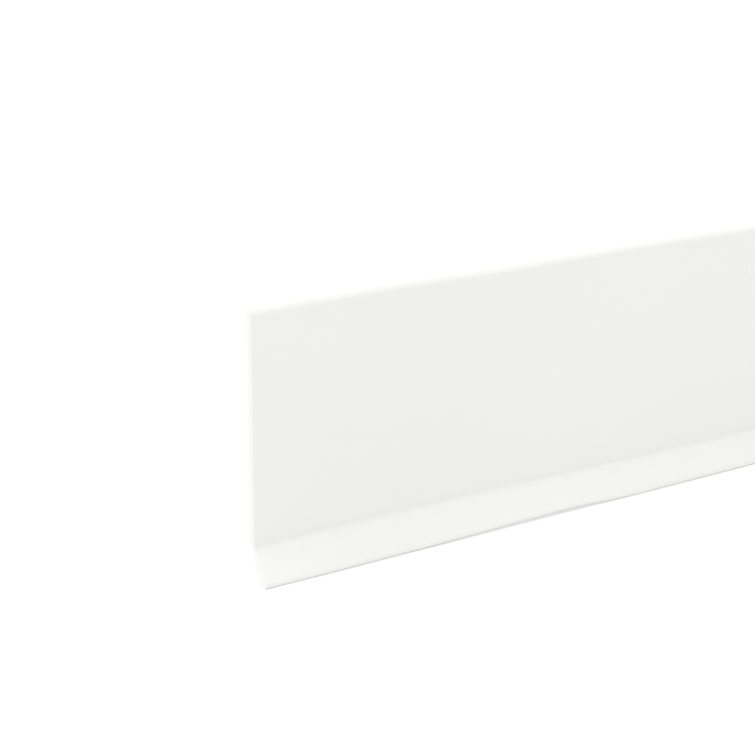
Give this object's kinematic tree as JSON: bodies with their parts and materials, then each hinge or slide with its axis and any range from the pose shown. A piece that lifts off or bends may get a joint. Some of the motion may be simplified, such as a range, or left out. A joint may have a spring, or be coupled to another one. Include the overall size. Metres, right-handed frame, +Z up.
{
  "type": "door sweep",
  "caption": "Self-adhesive door sweep: flat semi-rigid plastic band with a short, soft, outward-kicked sealing lip and two taped strips with release liners on its back.",
  "frame": {"origin": "centre of the upper release liner's outer face, at mid-length: the plane that meets the door", "axes": "+X along the strip; +Y out of the back, into the door, so the show face looks to -Y; +Z up, from the sealing lip to the top edge"},
  "size_m": [1, 0.0058, 0.05],
  "materials": {
    "band_pvc": "satin extruded semi-rigid PVC, warm white",
    "lip_pvc": "soft satin flexible PVC, white, slightly waxy",
    "tape_foam": "fine closed-cell foam",
    "adhesive": "glossy tacky film",
    "liner_paper": "siliconised release paper, pale honey, low sheen"
  },
  "bodies": {
    "band": {"face_band": "band_pvc", "lip_root": "lip_pvc", "hinge_web": "lip_pvc", "upper_band_adhesive": "adhesive", "upper_foam": "tape_foam", "upper_door_adhesive": "adhesive", "lower_band_adhesive": "adhesive", "lower_foam": "tape_foam", "lower_door_adhesive": "adhesive"},
    "lip": {"sealing_lip": "lip_pvc"},
    "upper_release_liner": {"upper_liner": "liner_paper"},
    "lower_release_liner": {"lower_liner": "liner_paper"}
  },
  "joints": [
    {"name": "lip_flex", "type": "hinge", "parent": "band", "child": "lip", "pos_m": [0, -0.00178, -0.0349], "axis": [-1, 0, 0], "range_deg": [-40, 50], "stiffness_Nm_per_rad": 0.2, "deforming": ["hinge_web"]},
    {"name": "upper_liner_peel", "type": "slide", "parent": "band", "child": "upper_release_liner", "axis": [0, 1, 0], "range_m": [0, 0.04]},
    {"name": "lower_liner_peel", "type": "slide", "parent": "band", "child": "lower_release_liner", "axis": [0, 1, 0], "range_m": [0, 0.04]}
  ]
}
